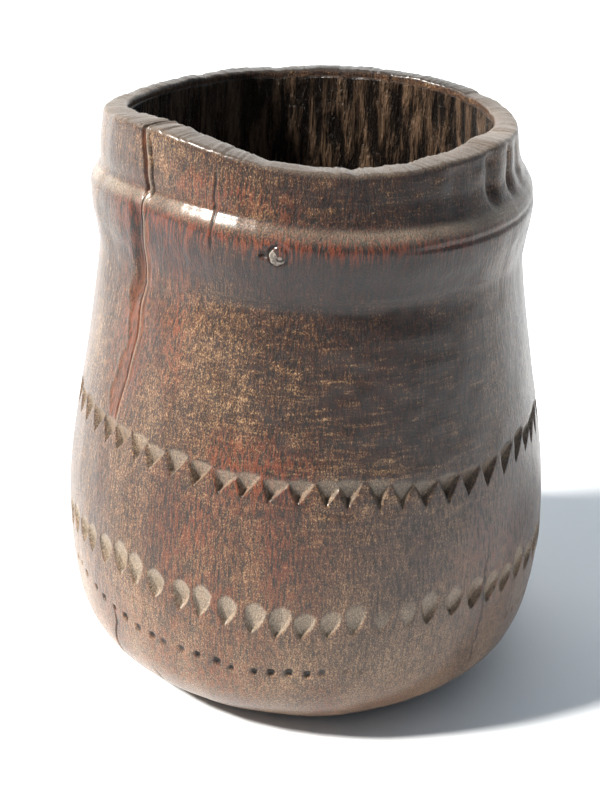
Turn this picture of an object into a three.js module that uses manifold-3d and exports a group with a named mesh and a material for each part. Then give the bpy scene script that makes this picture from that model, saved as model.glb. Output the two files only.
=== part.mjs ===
// A small wooden vessel hollowed from one section of log, with the grain upright.
// The wall swells to a belly near the foot, narrows to a waist, swells again to a
// shoulder and steps in to a collar that a lid would slide over. Two bands of
// chip-carved triangles run round it. The bottom is a separate disc whose bevelled
// edge sits in a groove cut round the inside of the wall, and a small peg plugs a
// hole bored through the shoulder.
//
// Millimetres, +Z up. The origin is the centre of the foot, on the surface the
// vessel stands on, and the front of the vessel is -Y.

import * as THREE from "three";
import { mergeVertices } from "three/addons/utils/BufferGeometryUtils.js";
import Module from "manifold-3d";

// ---- Driving dimensions ------------------------------------------------------

const HEIGHT = 130;
const BELLY_RADIUS = 57.6;
const WAIST_RADIUS = 48.1;
const SHOULDER_RADIUS = 49.2;
const RIM_RADIUS = 45.4;
const FOOT_RADIUS = 41.2;
const RIM_WALL = 5.4;
const WAIST_WALL = 6.2;
const BELLY_WALL = 7;

// Heights up the vessel
const BELLY_Z = 0.275 * HEIGHT;
const WAIST_Z = 0.78 * HEIGHT;
const SHOULDER_Z = 0.86 * HEIGHT;
const LEDGE_Z = 0.8985 * HEIGHT;

// The step from the shoulder in to the collar
const LEDGE_RADIUS = 48.7;
const COLLAR_RADIUS = 46.8;
const COLLAR_TAPER = 0.5;
const RIM_ROUNDING = 0.6;
const LEDGE_SLOPE = 0.4;

// How much narrower the cavity is than at the belly: below the waist, and by the seat
const CAVITY_DRAW_ABOVE = 3.4;
const CAVITY_DRAW_BELOW = 4.4;

// The bottom disc and the groove that holds it
const SEAT_RADIUS = 35.8;
const GROOVE_DEPTH = 2.8;
const GROOVE_LOW = 6.4;
const GROOVE_HIGH = 10.6;
const DISC_LOW = 4.2;
const DISC_HIGH = 13;
const DISC_BEVEL = 1.2;
const TONGUE_BEVEL = 0.6;
const WALL_ABOVE_DISC = 12.2;
const FIT_GAP = 0.4;

// The peg in the shoulder
const PEG_RADIUS = 1.7;
const PEG_AZIMUTH = -97.5;
const PEG_Z = 0.858 * HEIGHT;
const PEG_PROUD = 0.3;
const PEG_SIDES = 16;
const HOLE_GAP = 0.3;

// Chip-carved bands: each chip is a three-sided notch that points down
const UPPER_BAND = { count: 60, z: 0.479 * HEIGHT, width: 5.2, tall: 5.4, depth: 1.2 };
const LOWER_BAND = { count: 56, z: 0.262 * HEIGHT, width: 5, tall: 5.4, depth: 1 };
const BAND_TILT = 0.022 * HEIGHT;

// How finely the round shapes are faceted
const SEGMENTS = 72;
const BODY_STEPS = 15;
const CAVITY_STEPS = 9;

// ---- The out-of-round shape --------------------------------------------------

// The log dried out of round above the belly. Each lobe is how many stand round the
// vessel, how far out they stand in mm, and the azimuth in degrees of one of them.
const RIM_LOBES = [[1, 1.7, 73], [2, 0.5, 59], [3, 0.5, 54], [4, 0.5, 19]];
const LEDGE_LOBES = [[1, 1.8, 47], [3, 0.7, 45], [4, 0.5, 13]];
const MOUTH_LOBES = [[1, 2.2, 81], [3, 1, 38], [4, 0.4, 12]];

// How far the rim and the ledge rise and fall round the vessel, in the same form:
// the rim is lowest at the front
const RIM_RISE = [[1, 1.1, 127], [2, 0.9, 44], [3, 0.8, -28], [4, 0.4, -41]];
const LEDGE_RISE = [[1, 0.4, 77], [2, 0.6, 39], [3, 0.3, -10]];

// The heights between which each of these comes in
const BODY_BENDS = [0.42 * HEIGHT, 0.88 * HEIGHT];
const CAVITY_BENDS = [0.35 * HEIGHT, HEIGHT];
const LEDGE_RISES = [0.78 * HEIGHT, 0.89 * HEIGHT];
const RIM_RISES = [LEDGE_Z + 1, HEIGHT];
const COLLAR_BENDS = [LEDGE_Z, LEDGE_Z + 6];

// Above the belly the vessel leans this far to the left
const LEAN = 1.65;

const { degToRad: radians, smoothstep, clamp, lerp } = THREE.MathUtils;

function lobes(table, azimuth) {
  let sum = 0;
  for (const [count, size, peak] of table) {
    sum += size * Math.cos(count * (azimuth - radians(peak)));
  }
  return sum;
}

function lean(z) {
  return -LEAN * clamp((z - BELLY_Z) / (HEIGHT - BELLY_Z), 0, 1);
}

function outsideShift(azimuth, z) {
  const body = lobes(LEDGE_LOBES, azimuth) * smoothstep(z, ...BODY_BENDS);
  return lerp(body, lobes(RIM_LOBES, azimuth), smoothstep(z, ...COLLAR_BENDS));
}

function insideShift(azimuth, z) {
  return lobes(MOUTH_LOBES, azimuth) * smoothstep(z, ...CAVITY_BENDS);
}

function rise(azimuth, z) {
  const ledge = lobes(LEDGE_RISE, azimuth) * smoothstep(z, ...LEDGE_RISES);
  return lerp(ledge, lobes(RIM_RISE, azimuth), smoothstep(z, ...RIM_RISES));
}

// ---- Profiles, as (radius, height) -------------------------------------------

const at = (radius, z) => new THREE.Vector2(radius, z);

function smoothLine(points, steps) {
  return new THREE.SplineCurve(points).getPoints(steps);
}

const BODY_PROFILE = smoothLine(
  [
    at(FOOT_RADIUS, 0),
    at(0.845 * BELLY_RADIUS, 0.032 * HEIGHT),
    at(0.932 * BELLY_RADIUS, 0.08 * HEIGHT),
    at(0.98 * BELLY_RADIUS, 0.16 * HEIGHT),
    at(BELLY_RADIUS, BELLY_Z),
    at(0.95 * BELLY_RADIUS, 0.46 * HEIGHT),
    at(0.873 * BELLY_RADIUS, 0.646 * HEIGHT),
    at(WAIST_RADIUS, WAIST_Z),
    at(SHOULDER_RADIUS, SHOULDER_Z),
    at(LEDGE_RADIUS, LEDGE_Z),
  ],
  BODY_STEPS,
);

const CAVITY_PROFILE = smoothLine(
  [
    at(RIM_RADIUS - RIM_WALL, HEIGHT - RIM_ROUNDING),
    at(RIM_RADIUS - RIM_WALL + 1, LEDGE_Z),
    at(WAIST_RADIUS - WAIST_WALL, WAIST_Z),
    at(BELLY_RADIUS - BELLY_WALL - CAVITY_DRAW_ABOVE, 0.48 * HEIGHT),
    at(BELLY_RADIUS - BELLY_WALL, BELLY_Z),
    at(BELLY_RADIUS - BELLY_WALL - CAVITY_DRAW_BELOW, 0.155 * HEIGHT),
    at(SEAT_RADIUS, WALL_ABOVE_DISC),
  ],
  CAVITY_STEPS,
);

function outerRadius(z) {
  const above = BODY_PROFILE.findIndex((point) => point.y >= z);
  const [low, high] = [BODY_PROFILE[above - 1], BODY_PROFILE[above]];
  return THREE.MathUtils.mapLinear(z, low.y, high.y, low.x, high.x);
}

// ---- Solids ------------------------------------------------------------------

const wasm = await Module();
wasm.setup();

function toSolid(geometry) {
  const bare = geometry.clone();
  bare.deleteAttribute("normal");
  bare.deleteAttribute("uv");
  const merged = mergeVertices(bare, 1e-4);
  const vertProperties = new Float32Array(merged.attributes.position.array);
  const triVerts = new Uint32Array(merged.index.array);
  return new wasm.Manifold(new wasm.Mesh({ numProp: 3, vertProperties, triVerts }));
}

function toGeometry(solid) {
  const mesh = solid.getMesh();
  const geometry = new THREE.BufferGeometry();
  geometry.setAttribute("position", new THREE.BufferAttribute(mesh.vertProperties, 3));
  geometry.setIndex(new THREE.BufferAttribute(mesh.triVerts, 1));
  geometry.computeVertexNormals();
  return geometry;
}

// A closed (radius, height) profile turned about Z
function turned(profile) {
  const geometry = new THREE.LatheGeometry([...profile, profile[0]], SEGMENTS);
  return geometry.rotateX(Math.PI / 2);
}

// Points of the profile from insideFrom on belong to the mouth and the cavity
function bendOutOfRound(geometry, insideFrom, pointCount) {
  const place = geometry.attributes.position;
  for (let i = 0; i < place.count; i += 1) {
    const [x, y, z] = [place.getX(i), place.getY(i), place.getZ(i)];
    const azimuth = Math.atan2(y, x);
    const isInside = i % (pointCount + 1) >= insideFrom && i % (pointCount + 1) < pointCount;
    const shift = isInside ? insideShift(azimuth, z) : outsideShift(azimuth, z);
    const grow = 1 + shift / Math.hypot(x, y);
    place.setXYZ(i, x * grow + lean(z), y * grow, z + rise(azimuth, z));
  }
  return geometry;
}

// A chip cutter: a three-sided pyramid lying along the radius, its tip in the wall.
// A cone of three sides and unit radius is sqrt(3) wide and 1.5 tall before it is scaled
function chipCutter(band, index) {
  const azimuth = (2 * Math.PI * index) / band.count;
  const z = band.z - BAND_TILT * Math.cos(azimuth);
  const radius = outerRadius(z) + outsideShift(azimuth, z);
  const reach = 2 * band.depth;
  const cutter = new THREE.ConeGeometry(1, reach, 3);
  cutter.rotateZ(Math.PI / 2);
  cutter.rotateX(Math.PI);
  cutter.scale(1, (2 * band.width) / Math.sqrt(3), (2 * band.tall) / 1.5);
  cutter.translate(radius, 0, 0);
  cutter.rotateZ(azimuth);
  cutter.translate(lean(z), 0, z);
  return toSolid(cutter);
}

function pegShape(radius, length) {
  const shape = new THREE.CylinderGeometry(radius, radius, length, PEG_SIDES);
  return shape.rotateZ(Math.PI / 2);
}

// Moves a peg shape out along the shoulder's radius, then round to its azimuth
function placeInShoulder(shape, alongRadius) {
  const azimuth = radians(PEG_AZIMUTH);
  const outside = outerRadius(PEG_Z) + outsideShift(azimuth, PEG_Z);
  shape.translate(outside + alongRadius, 0, PEG_Z).rotateZ(azimuth);
  return shape.translate(lean(PEG_Z), 0, 0);
}

// ---- Parts -------------------------------------------------------------------

function vesselWallGeometry() {
  const foot = [
    at(SEAT_RADIUS, WALL_ABOVE_DISC),
    at(SEAT_RADIUS, GROOVE_HIGH),
    at(SEAT_RADIUS + GROOVE_DEPTH, GROOVE_HIGH),
    at(SEAT_RADIUS + GROOVE_DEPTH, GROOVE_LOW),
    at(SEAT_RADIUS, GROOVE_LOW),
    at(SEAT_RADIUS, 0),
  ];
  const collar = [
    at(COLLAR_RADIUS, LEDGE_Z + LEDGE_SLOPE),
    at(COLLAR_RADIUS - COLLAR_TAPER, 0.95 * HEIGHT),
    at(RIM_RADIUS, HEIGHT - RIM_ROUNDING),
    at(RIM_RADIUS - RIM_ROUNDING, HEIGHT),
  ];
  const outside = [...foot, ...BODY_PROFILE, ...collar];
  const mouthEdge = at(RIM_RADIUS - RIM_WALL + RIM_ROUNDING, HEIGHT);
  const profile = [...outside, mouthEdge, ...CAVITY_PROFILE.slice(0, -1)];
  let wall = toSolid(bendOutOfRound(turned(profile), outside.length, profile.length));
  for (const band of [UPPER_BAND, LOWER_BAND]) {
    for (let index = 0; index < band.count; index += 1) {
      wall = wall.subtract(chipCutter(band, index));
    }
  }
  const hole = pegShape(PEG_RADIUS + HOLE_GAP, 4 * WAIST_WALL);
  return toGeometry(wall.subtract(toSolid(placeInShoulder(hole, 0))));
}

function bottomDiscGeometry() {
  const face = SEAT_RADIUS - FIT_GAP;
  const tongue = SEAT_RADIUS + GROOVE_DEPTH - FIT_GAP;
  const profile = [
    at(0, DISC_LOW),
    at(face - DISC_BEVEL, DISC_LOW),
    at(face, DISC_LOW + DISC_BEVEL),
    at(face, GROOVE_LOW + FIT_GAP),
    at(tongue, GROOVE_LOW + FIT_GAP + TONGUE_BEVEL),
    at(tongue, GROOVE_HIGH - FIT_GAP - TONGUE_BEVEL),
    at(face, GROOVE_HIGH - FIT_GAP),
    at(face, DISC_HIGH - DISC_BEVEL),
    at(face - DISC_BEVEL, DISC_HIGH),
    at(0, DISC_HIGH),
  ];
  return new THREE.LatheGeometry(profile, SEGMENTS).rotateX(Math.PI / 2);
}

function pegGeometry() {
  const length = WAIST_WALL - PEG_PROUD;
  return placeInShoulder(pegShape(PEG_RADIUS, length), PEG_PROUD - length / 2);
}

// ---- Assembly ----------------------------------------------------------------

const OLD_WOOD = new THREE.MeshStandardMaterial({ color: 0x5a3a28, roughness: 0.45 });
const DISC_WOOD = new THREE.MeshStandardMaterial({ color: 0x4a3426, roughness: 0.6 });
const PEG_WOOD = new THREE.MeshStandardMaterial({ color: 0x8f8274, roughness: 0.55 });

function part(name, geometry, material) {
  const mesh = new THREE.Mesh(geometry, material);
  mesh.name = name;
  return mesh;
}

const vessel = new THREE.Group();
vessel.add(part("vessel_wall", vesselWallGeometry(), OLD_WOOD));
vessel.add(part("bottom_disc", bottomDiscGeometry(), DISC_WOOD));
vessel.add(part("shoulder_peg", pegGeometry(), PEG_WOOD));

export default vessel;
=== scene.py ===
"""An old wooden vessel, hollowed from a section of log, with chip-carved bands.

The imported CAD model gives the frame: the wall, the bottom disc and the peg. This script
makes the fine surface of each in mesh code and gives it a procedural wood material.
Lengths inside the mesh code are in millimetres, and MM turns them into metres.
"""

from math import pi, radians

import bpy
import numpy as np
from mathutils import Matrix, Vector


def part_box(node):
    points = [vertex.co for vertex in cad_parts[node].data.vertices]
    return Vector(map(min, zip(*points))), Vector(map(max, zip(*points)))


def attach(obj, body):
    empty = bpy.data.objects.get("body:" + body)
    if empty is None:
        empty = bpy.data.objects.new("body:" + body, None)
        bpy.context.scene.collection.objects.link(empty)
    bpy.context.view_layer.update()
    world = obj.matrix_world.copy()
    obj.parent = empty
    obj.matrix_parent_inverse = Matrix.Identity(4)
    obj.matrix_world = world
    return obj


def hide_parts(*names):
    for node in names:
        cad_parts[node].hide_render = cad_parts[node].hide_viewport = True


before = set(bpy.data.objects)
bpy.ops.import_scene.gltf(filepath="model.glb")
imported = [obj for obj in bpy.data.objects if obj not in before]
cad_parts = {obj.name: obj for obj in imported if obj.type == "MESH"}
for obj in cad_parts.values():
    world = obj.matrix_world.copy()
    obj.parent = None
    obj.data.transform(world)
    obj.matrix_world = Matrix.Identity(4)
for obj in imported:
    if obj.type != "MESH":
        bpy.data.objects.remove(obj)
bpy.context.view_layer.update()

MM = 0.001
SEED = 20

# ---- Driving dimensions, from the frame (millimetres) ---------------------------

WALL_LOW, WALL_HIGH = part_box("vessel_wall")
DISC_LOW, DISC_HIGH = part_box("bottom_disc")
PEG_LOW, PEG_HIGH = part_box("shoulder_peg")

# The rim's highest point stands this far above the mean height of its line
RIM_PEAK = 1.91
HEIGHT = WALL_HIGH.z / MM - RIM_PEAK
BELLY = (WALL_HIGH.x - WALL_LOW.x) / 2 / MM
DISC_TONGUE = (DISC_HIGH.x - DISC_LOW.x) / 2 / MM
PEG_CENTRE = (PEG_LOW + PEG_HIGH) / 2 / MM
PEG_RADIUS = (PEG_HIGH.z - PEG_LOW.z) / 2 / MM
PEG_LENGTH = 5.0
# How far out from the middle of the CAD peg the worn peg's face lies
PEG_FACE_OUT = 2.95

LEDGE_Z = 0.8985 * HEIGHT
RIM_RADIUS = 0.789 * BELLY
MOUTH_RADIUS = 0.694 * BELLY
RIM_DROP = 0.4
FIT_GAP = 0.4
GROOVE_DEPTH = 2.8
GROOVE_RADIUS = DISC_TONGUE + FIT_GAP
SEAT_RADIUS = GROOVE_RADIUS - GROOVE_DEPTH
GROOVE_LOW = 6.4
GROOVE_HIGH = 10.6
SEAT_TOP = 12.2

# How many columns of points go round the wall, and round the bottom disc and the peg
COLUMNS = 1000
DISC_COLUMNS = 180
PEG_COLUMNS = 40


# ---- Small number helpers ---------------------------------------------------------


def smooth(x, low, high):
    """0 below low, 1 above high, smooth between; low may be above high."""
    t = np.clip((x - low) / (high - low), 0, 1)
    return t * t * (3 - 2 * t)


def turn(azimuth, centre):
    """The signed angle from centre (degrees) to azimuth (radians), in degrees."""
    return (np.degrees(azimuth) - centre + 180) % 360 - 180


def hump(azimuth, centre, width):
    """A soft bump of height 1 round an azimuth, both in degrees."""
    return np.exp(-((turn(azimuth, centre) / width) ** 2))


def humps(azimuth, table):
    """The sum of soft bumps, each given as (azimuth, width, height)."""
    return sum(height * hump(azimuth, at, width) for at, width, height in table)


def patch(azimuth, z, centre, width, level, tall):
    """A soft patch on the wall, placed and sized in degrees and in shares of the height."""
    return hump(azimuth, centre, width) * np.exp(-(((z / HEIGHT - level) / tall) ** 2))


def lattice(azimuth, z, around, step, seed):
    """Smooth noise from -1 to 1 with `around` cells in a turn, each `step` mm high."""
    rng = np.random.default_rng(SEED + seed)
    rows = int(HEIGHT / step) + 6
    grid = rng.uniform(-1, 1, (rows, around))
    u = azimuth / (2 * pi) % 1 * around
    v = np.clip(z / step + 2, 0, rows - 2.001)
    i, j = np.floor(u).astype(int) % around, np.floor(v).astype(int)
    fu, fv = u - np.floor(u), v - np.floor(v)
    fu, fv = fu * fu * (3 - 2 * fu), fv * fv * (3 - 2 * fv)
    i2 = (i + 1) % around
    low = grid[j, i] * (1 - fu) + grid[j, i2] * fu
    high = grid[j + 1, i] * (1 - fu) + grid[j + 1, i2] * fu
    return low * (1 - fv) + high * fv


def catmull(points, steps):
    """A smooth line through (radius, height) points."""
    p = np.array(points, float)
    p = np.vstack([2 * p[0] - p[1], p, 2 * p[-1] - p[-2]])
    t = np.linspace(0, 1, steps, endpoint=False)[:, None]
    line = []
    for a, b, c, d in zip(p, p[1:], p[2:], p[3:]):
        square = 2 * a - 5 * b + 4 * c - d
        cube = 3 * b - a - 3 * c + d
        line.append(0.5 * (2 * b + (c - a) * t + square * t**2 + cube * t**3))
    return np.vstack([*line, p[-2:-1]])


# ---- The wall's profile and its out-of-round shape ----------------------------------

# The log dried out of round. Each lobe: how many, how far out in mm, azimuth of one
RIM_LOBES = ((1, 1.7, 73), (2, 0.5, 59), (3, 0.5, 54), (4, 0.5, 19), (5, 0.35, -29))
LEDGE_LOBES = ((1, 1.8, 47), (3, 0.7, 45), (4, 0.55, 13), (5, 0.5, -32))
MOUTH_LOBES = ((1, 2.2, 81), (3, 1.0, 38), (4, 0.4, 12), (5, 0.4, -33))
# How far the rim and the ledge rise and fall, in the same form
RIM_RISE = ((1, 1.1, 127), (2, 0.9, 44), (3, 0.8, -28), (4, 0.45, -41))
LEDGE_RISE = ((1, 0.4, 77), (2, 0.6, 39), (3, 0.3, -10))
# The top leans this far to the left, in mm
LEAN = 1.65


def lobes(azimuth, table):
    return sum(size * np.cos(count * (azimuth - radians(at))) for count, size, at in table)


def outside_profile():
    """(radius, height) from the foot's flat up to the ledge's edge."""
    return catmull(
        [
            (0.705 * BELLY, 0),
            (0.76 * BELLY, 1.2),
            (0.832 * BELLY, 4.2),
            (0.9 * BELLY, 8),
            (0.95 * BELLY, 13),
            (0.978 * BELLY, 20),
            (0.997 * BELLY, 29),
            (BELLY, 36),
            (0.986 * BELLY, 47),
            (0.95 * BELLY, 60),
            (0.909 * BELLY, 72),
            (0.873 * BELLY, 84),
            (0.846 * BELLY, 94),
            (0.835 * BELLY, 100.5),
            (0.84 * BELLY, 104.5),
            (0.852 * BELLY, 108.5),
            (0.856 * BELLY, 111.5),
            (0.855 * BELLY, 113.8),
            (0.848 * BELLY, LEDGE_Z - 1.5),
            (0.842 * BELLY, LEDGE_Z - 0.7),
        ],
        40,
    )


def collar_profile():
    """(radius, height) from the ledge up the collar and over the rim to the mouth."""
    top = HEIGHT - RIM_DROP
    return catmull(
        [
            (0.834 * BELLY, LEDGE_Z + 0.05),
            (RIM_RADIUS + 1.75, LEDGE_Z + 1.0),
            (RIM_RADIUS + 1.35, LEDGE_Z + 1.9),
            (RIM_RADIUS + 1.15, LEDGE_Z + 4),
            (RIM_RADIUS + 0.55, top - 4),
            (RIM_RADIUS + 0.2, top - 1.4),
            (RIM_RADIUS - 0.02, top - 0.55),
            (RIM_RADIUS - 0.4, top - 0.12),
            (RIM_RADIUS - 1.2, top),
            (RIM_RADIUS - 2.8, top + 0.1),
            (MOUTH_RADIUS + 0.9, top),
            (MOUTH_RADIUS + 0.3, top - 0.15),
            (MOUTH_RADIUS + 0.05, top - 0.6),
            (MOUTH_RADIUS, top - 1.5),
        ],
        30,
    )


def cavity_profile():
    """(radius, height) from the mouth down to the seat of the bottom disc."""
    return catmull(
        [
            (MOUTH_RADIUS, HEIGHT - RIM_DROP - 1.5),
            (MOUTH_RADIUS + 0.4, 122),
            (MOUTH_RADIUS + 1.2, 113),
            (MOUTH_RADIUS + 2.6, 101),
            (0.765 * BELLY, 82),
            (0.82 * BELLY, 62),
            (0.875 * BELLY, 38),
            (0.84 * BELLY, 24),
            (0.74 * BELLY, 16),
            (SEAT_RADIUS + 0.2, SEAT_TOP),
        ],
        40,
    )


def seat_profile():
    """(radius, height) down past the groove that holds the disc, and across the foot."""
    return np.array(
        [
            (SEAT_RADIUS, SEAT_TOP - 0.3),
            (SEAT_RADIUS, GROOVE_HIGH),
            (GROOVE_RADIUS, GROOVE_HIGH - 0.05),
            (GROOVE_RADIUS, GROOVE_LOW + 0.05),
            (SEAT_RADIUS, GROOVE_LOW),
            (SEAT_RADIUS, 0.6),
            (SEAT_RADIUS + 0.6, 0),
        ]
    )


# The mesh's steps up the wall, and the heights on the outside that need the fine one, in mm
FINE_STEP = 0.4
PLAIN_STEP = 0.95
CAVITY_STEP = 1.5
MOUTH_STEP = 0.6
FINE_LEVELS = ((17, 42), (56, 69), (105, 140))


def spaced(line, step_at):
    """The line's points, spaced by step_at(radius, height)."""
    lengths = np.r_[0, np.cumsum(np.hypot(*np.diff(line, axis=0).T))]
    steps = step_at(line[:, 0], line[:, 1])
    density = np.r_[0, np.cumsum(np.diff(lengths) * 2 / (steps[1:] + steps[:-1]))]
    count = int(round(density[-1])) + 1
    along = np.interp(np.linspace(0, density[-1], count), density, lengths)
    return np.column_stack([np.interp(along, lengths, line[:, k]) for k in (0, 1)])


def outside_step(_, z):
    fine = sum(smooth(z, low - 1.5, low) * smooth(z, high + 1.5, high) for low, high in FINE_LEVELS)
    return PLAIN_STEP + (FINE_STEP - PLAIN_STEP) * np.clip(fine, 0, 1)


def collar_step(_, z):
    return np.full(len(z), FINE_STEP)


def cavity_step(_, z):
    return CAVITY_STEP + (MOUTH_STEP - CAVITY_STEP) * smooth(z, HEIGHT - 22, HEIGHT - 8)


# Where the columns stand closer together, in degrees: the front, and the long drying crack
FRONT_AZIMUTH, FRONT_WIDTH = -90, 75
CRACK_AZIMUTH, CRACK_WIDTH = -141, 7.7


def column_azimuths():
    fine = np.linspace(-pi, pi, 7201)
    front = 0.3 * hump(fine, FRONT_AZIMUTH, FRONT_WIDTH)
    density = 1 + front + 1.9 * hump(fine, CRACK_AZIMUTH, CRACK_WIDTH)
    total = np.r_[0, np.cumsum((density[1:] + density[:-1]) / 2)]
    return np.interp(np.arange(COLUMNS) / COLUMNS * total[-1], total, fine)


# ---- Carving ------------------------------------------------------------------------


def band_line(azimuth, band):
    """The height in mm of a carved row, which wanders up and down as it goes round."""
    return band["level"] + humps(azimuth, band["wander"])


# A chip's width in mm is worked out at this radius
CHIP_RADIUS = 54.5


def chips(azimuth, z, radius, band):
    """Depth in mm of a row of triangular chips that point down."""
    rng = np.random.default_rng(SEED + band["seed"])
    count = band["count"]
    pitch = 2 * pi / count
    middles = radians(band["start"]) + (np.arange(count) + rng.normal(0, 0.06, count)) * pitch
    width = pitch * CHIP_RADIUS * rng.uniform(0.94, 1.06, count) * band["wide"]
    tall = band["tall"] * rng.uniform(0.88, 1.12, count)
    deep = band["depth"] * rng.uniform(0.8, 1.2, count)
    lift = rng.normal(0, 0.2, count)
    slant = rng.normal(0, 0.05, count) + humps(middles, band["slant"])
    worn = 1 - np.clip(humps(middles, band["worn"]), 0, 0.9)
    line = band_line(azimuth, band)
    place = (azimuth - radians(band["start"])) / pitch
    depth = np.zeros_like(z)
    for step in (0, 1):
        i = (np.floor(place).astype(int) + step) % count
        across = ((azimuth - middles[i] + pi) % (2 * pi) - pi) * radius
        down = 1 - (z - line - lift[i]) / tall[i]
        inside_down = np.clip(down, 0, 1)
        across = across - slant[i] * width[i] * (1 - inside_down)
        half = 0.5 * width[i] * (1 - inside_down ** band["round"])
        arch = band["arch"] * (1 - (across / (0.5 * width[i])) ** 2)
        floor = deep[i] * np.clip((down + arch) / 0.8, 0, 1.1) ** 0.75
        wall = (half - np.abs(across)) * band["steep"]
        depth = np.maximum(depth, np.minimum(floor, wall) * worn[i])
    return depth


# Sizes in mm. wander, slant and worn are soft bumps: (azimuth, width, how much)
UPPER_BAND = {
    "seed": 1,
    "count": 61,
    "start": -91.8,
    "level": 61.0,
    "tall": 5.3,
    "wide": 1.0,
    "depth": 1.7,
    "round": 1.1,
    "arch": 0.12,
    "steep": 2.6,
    "wander": ((-54, 26, -2.5), (-150, 30, 1.6)),
    "slant": ((-110, 24, 0.24), (-30, 20, 0.5)),
    "worn": ((-70, 8, 0.3),),
}
LOWER_BAND = {
    "seed": 2,
    "count": 64,
    "start": -89.9,
    "level": 31.4,
    "tall": 6.0,
    "wide": 0.86,
    "depth": 1.2,
    "round": 2.4,
    "arch": 0.3,
    "steep": 2.0,
    "wander": ((-145, 26, 3.6), (-95, 12, -1.4), (-30, 25, -0.4)),
    "slant": ((-100, 18, 0.25), (-30, 30, 0.4)),
    "worn": ((-80, 9, 0.45), (-69, 7, 0.75), (-100, 5, -0.15)),
}
PIT_ROW = {
    "seed": 3,
    "count": 87,
    "start": -96.8,
    "level": 22.0,
    "radius": 0.62,
    "depth": 0.8,
    "wander": ((-98, 12, -1.6), (-160, 25, 5)),
}


def pits(azimuth, z, radius, row):
    """Depth in mm of a row of small pits made with a pointed tool."""
    rng = np.random.default_rng(SEED + row["seed"])
    count = row["count"]
    shift = rng.normal(0, 0.1, count)
    lift = rng.normal(0, 0.25, count)
    size = rng.uniform(0.7, 1.3, count)
    deep = rng.uniform(0.5, 1.2, count)
    pitch = 2 * pi / count
    i = np.round((azimuth - radians(row["start"])) / pitch).astype(int) % count
    middle = radians(row["start"]) + (i + shift[i]) * pitch
    across = ((azimuth - middle + pi) % (2 * pi) - pi) * radius
    up = z - band_line(azimuth, row) - lift[i]
    away = np.maximum(np.abs(across), np.abs(up) * 0.9) * 0.5 + np.hypot(across, up) * 0.5
    worn = np.clip(1 - 0.9 * hump(azimuth, -60, 26) - 0.5 * hump(azimuth, -20, 20), 0, 1)
    return row["depth"] * deep[i] * worn * smooth(away / (row["radius"] * size[i]), 1.5, 0.6)


# ---- Cracks and wear ------------------------------------------------------------------


# The long crack's line: (height in mm, azimuth in degrees), from the foot to the rim
CRACK_LINE = (
    (0, -141),
    (14, -140.3),
    (20, -138),
    (60, -143),
    (74, -141.6),
    (80, -141),
    (87, -140),
    (94, -140.3),
    (100, -139.2),
    (112, -138.6),
    (117, -139.2),
    (123, -138.4),
    (131, -140.8),
)


def ridge(across, middle, width):
    """A soft ridge of height 1 that runs up the wall, both lengths in mm."""
    return np.exp(-(((across - middle) / width) ** 2))


def crack_azimuth(z):
    """The long crack's azimuth in degrees at each height."""
    heights, azimuths = zip(*CRACK_LINE)
    wander = 0.22 * np.sin(z * 0.24) + 0.15 * np.sin(z * 0.57 + 1)
    return np.interp(z, heights, azimuths) + wander


def crack_slots(across, z, body, collar):
    """Depth in mm of the crack itself: on the body and foot, and on the collar."""
    foot = smooth(z, 6, 9) * smooth(z, 25, 19)
    share = np.clip(body * (0.35 + 0.65 * smooth(z, 96, 102)) + 0.7 * foot, 0, 1)
    slot = 0.8 * share * smooth(np.abs(across), 0.36, 0.1)
    return slot + 0.75 * collar * smooth(np.abs(across + 0.1), 0.75, 0.35)


def crack_patch(across, z, body):
    """The strip of raw wood left of the crack, from 0 to 1, and its ragged left edge in mm."""
    left = -4.0 + 0.7 * np.sin(z * 0.31) + 0.4 * np.sin(z * 0.83) + 0.8 * smooth(z, 100, 92)
    right = 2.0 - 0.9 * smooth(z, 82, 70) + 0.3 * np.sin(z * 0.5)
    inside = smooth(across, left - 0.3, left + 0.5) * smooth(across, right + 0.4, right - 0.4)
    return inside * body * smooth(z, 108, 100), left


def raw_spots(across, z):
    """Two spots of orange raw wood: just under the ledge and at the crack's lower end."""
    upper = smooth(np.abs(across - 1.2), 1.3, 0.6) * smooth(z, 101, 104) * smooth(z, 113.5, 111)
    lower = smooth(np.abs(across + 1.5), 1.6, 0.8) * smooth(z, 66, 68) * smooth(z, 73, 70)
    return 1.3 * upper + 0.9 * lower


def long_crack(azimuth, z, radius):
    """Depth in mm, raised lip in mm, the share of raw wood, and the share of dark: the open crack, and
    painted shade in the hollow left of it.
    """
    across = np.radians(turn(azimuth, crack_azimuth(z))) * radius
    collar = smooth(z, LEDGE_Z - 0.5, LEDGE_Z + 1.5)
    body = smooth(z, 66, 74) * (1 - collar)
    slot = crack_slots(across, z, body, collar)
    twin = 0.5 * collar * smooth(np.abs(across - 1.9), 0.4, 0.1) * smooth(z, HEIGHT - 1, HEIGHT - 4)
    patch_floor, patch_left = crack_patch(across, z, body)
    hollow = 1.3 * ridge(across, -2.4, 1.4) * smooth(z, 90, 101) * smooth(z, 117, 113)
    # The raised lip on the crack's right; the material paints it tan, partly as wear and partly as a
    # painted highlight on the edge that catches the light.
    lip = 0.22 * body * ridge(across, 0.75, 0.4) + 0.2 * collar * ridge(across, 1.1, 0.4)
    lip = lip + 0.08 * body * ridge(across, patch_left - 0.3, 0.5) * smooth(z, 104, 96)
    mottle = 0.75 + 0.4 * lattice(azimuth, z, 150, 6, 71)
    strip = collar * smooth(np.abs(across + 0.1), 0.8, 0.55)
    raw = np.clip(0.8 * patch_floor * mottle + strip, 0, 1)
    # The hollow's share of the dark is painted shade.
    dark = smooth(slot * (1 - collar) + twin, 0.2, 0.6) + 0.3 * hollow
    depth = slot + twin + 0.2 * patch_floor + hollow
    return depth, lip, np.clip(raw + raw_spots(across, z), 0, 1), dark


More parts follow.
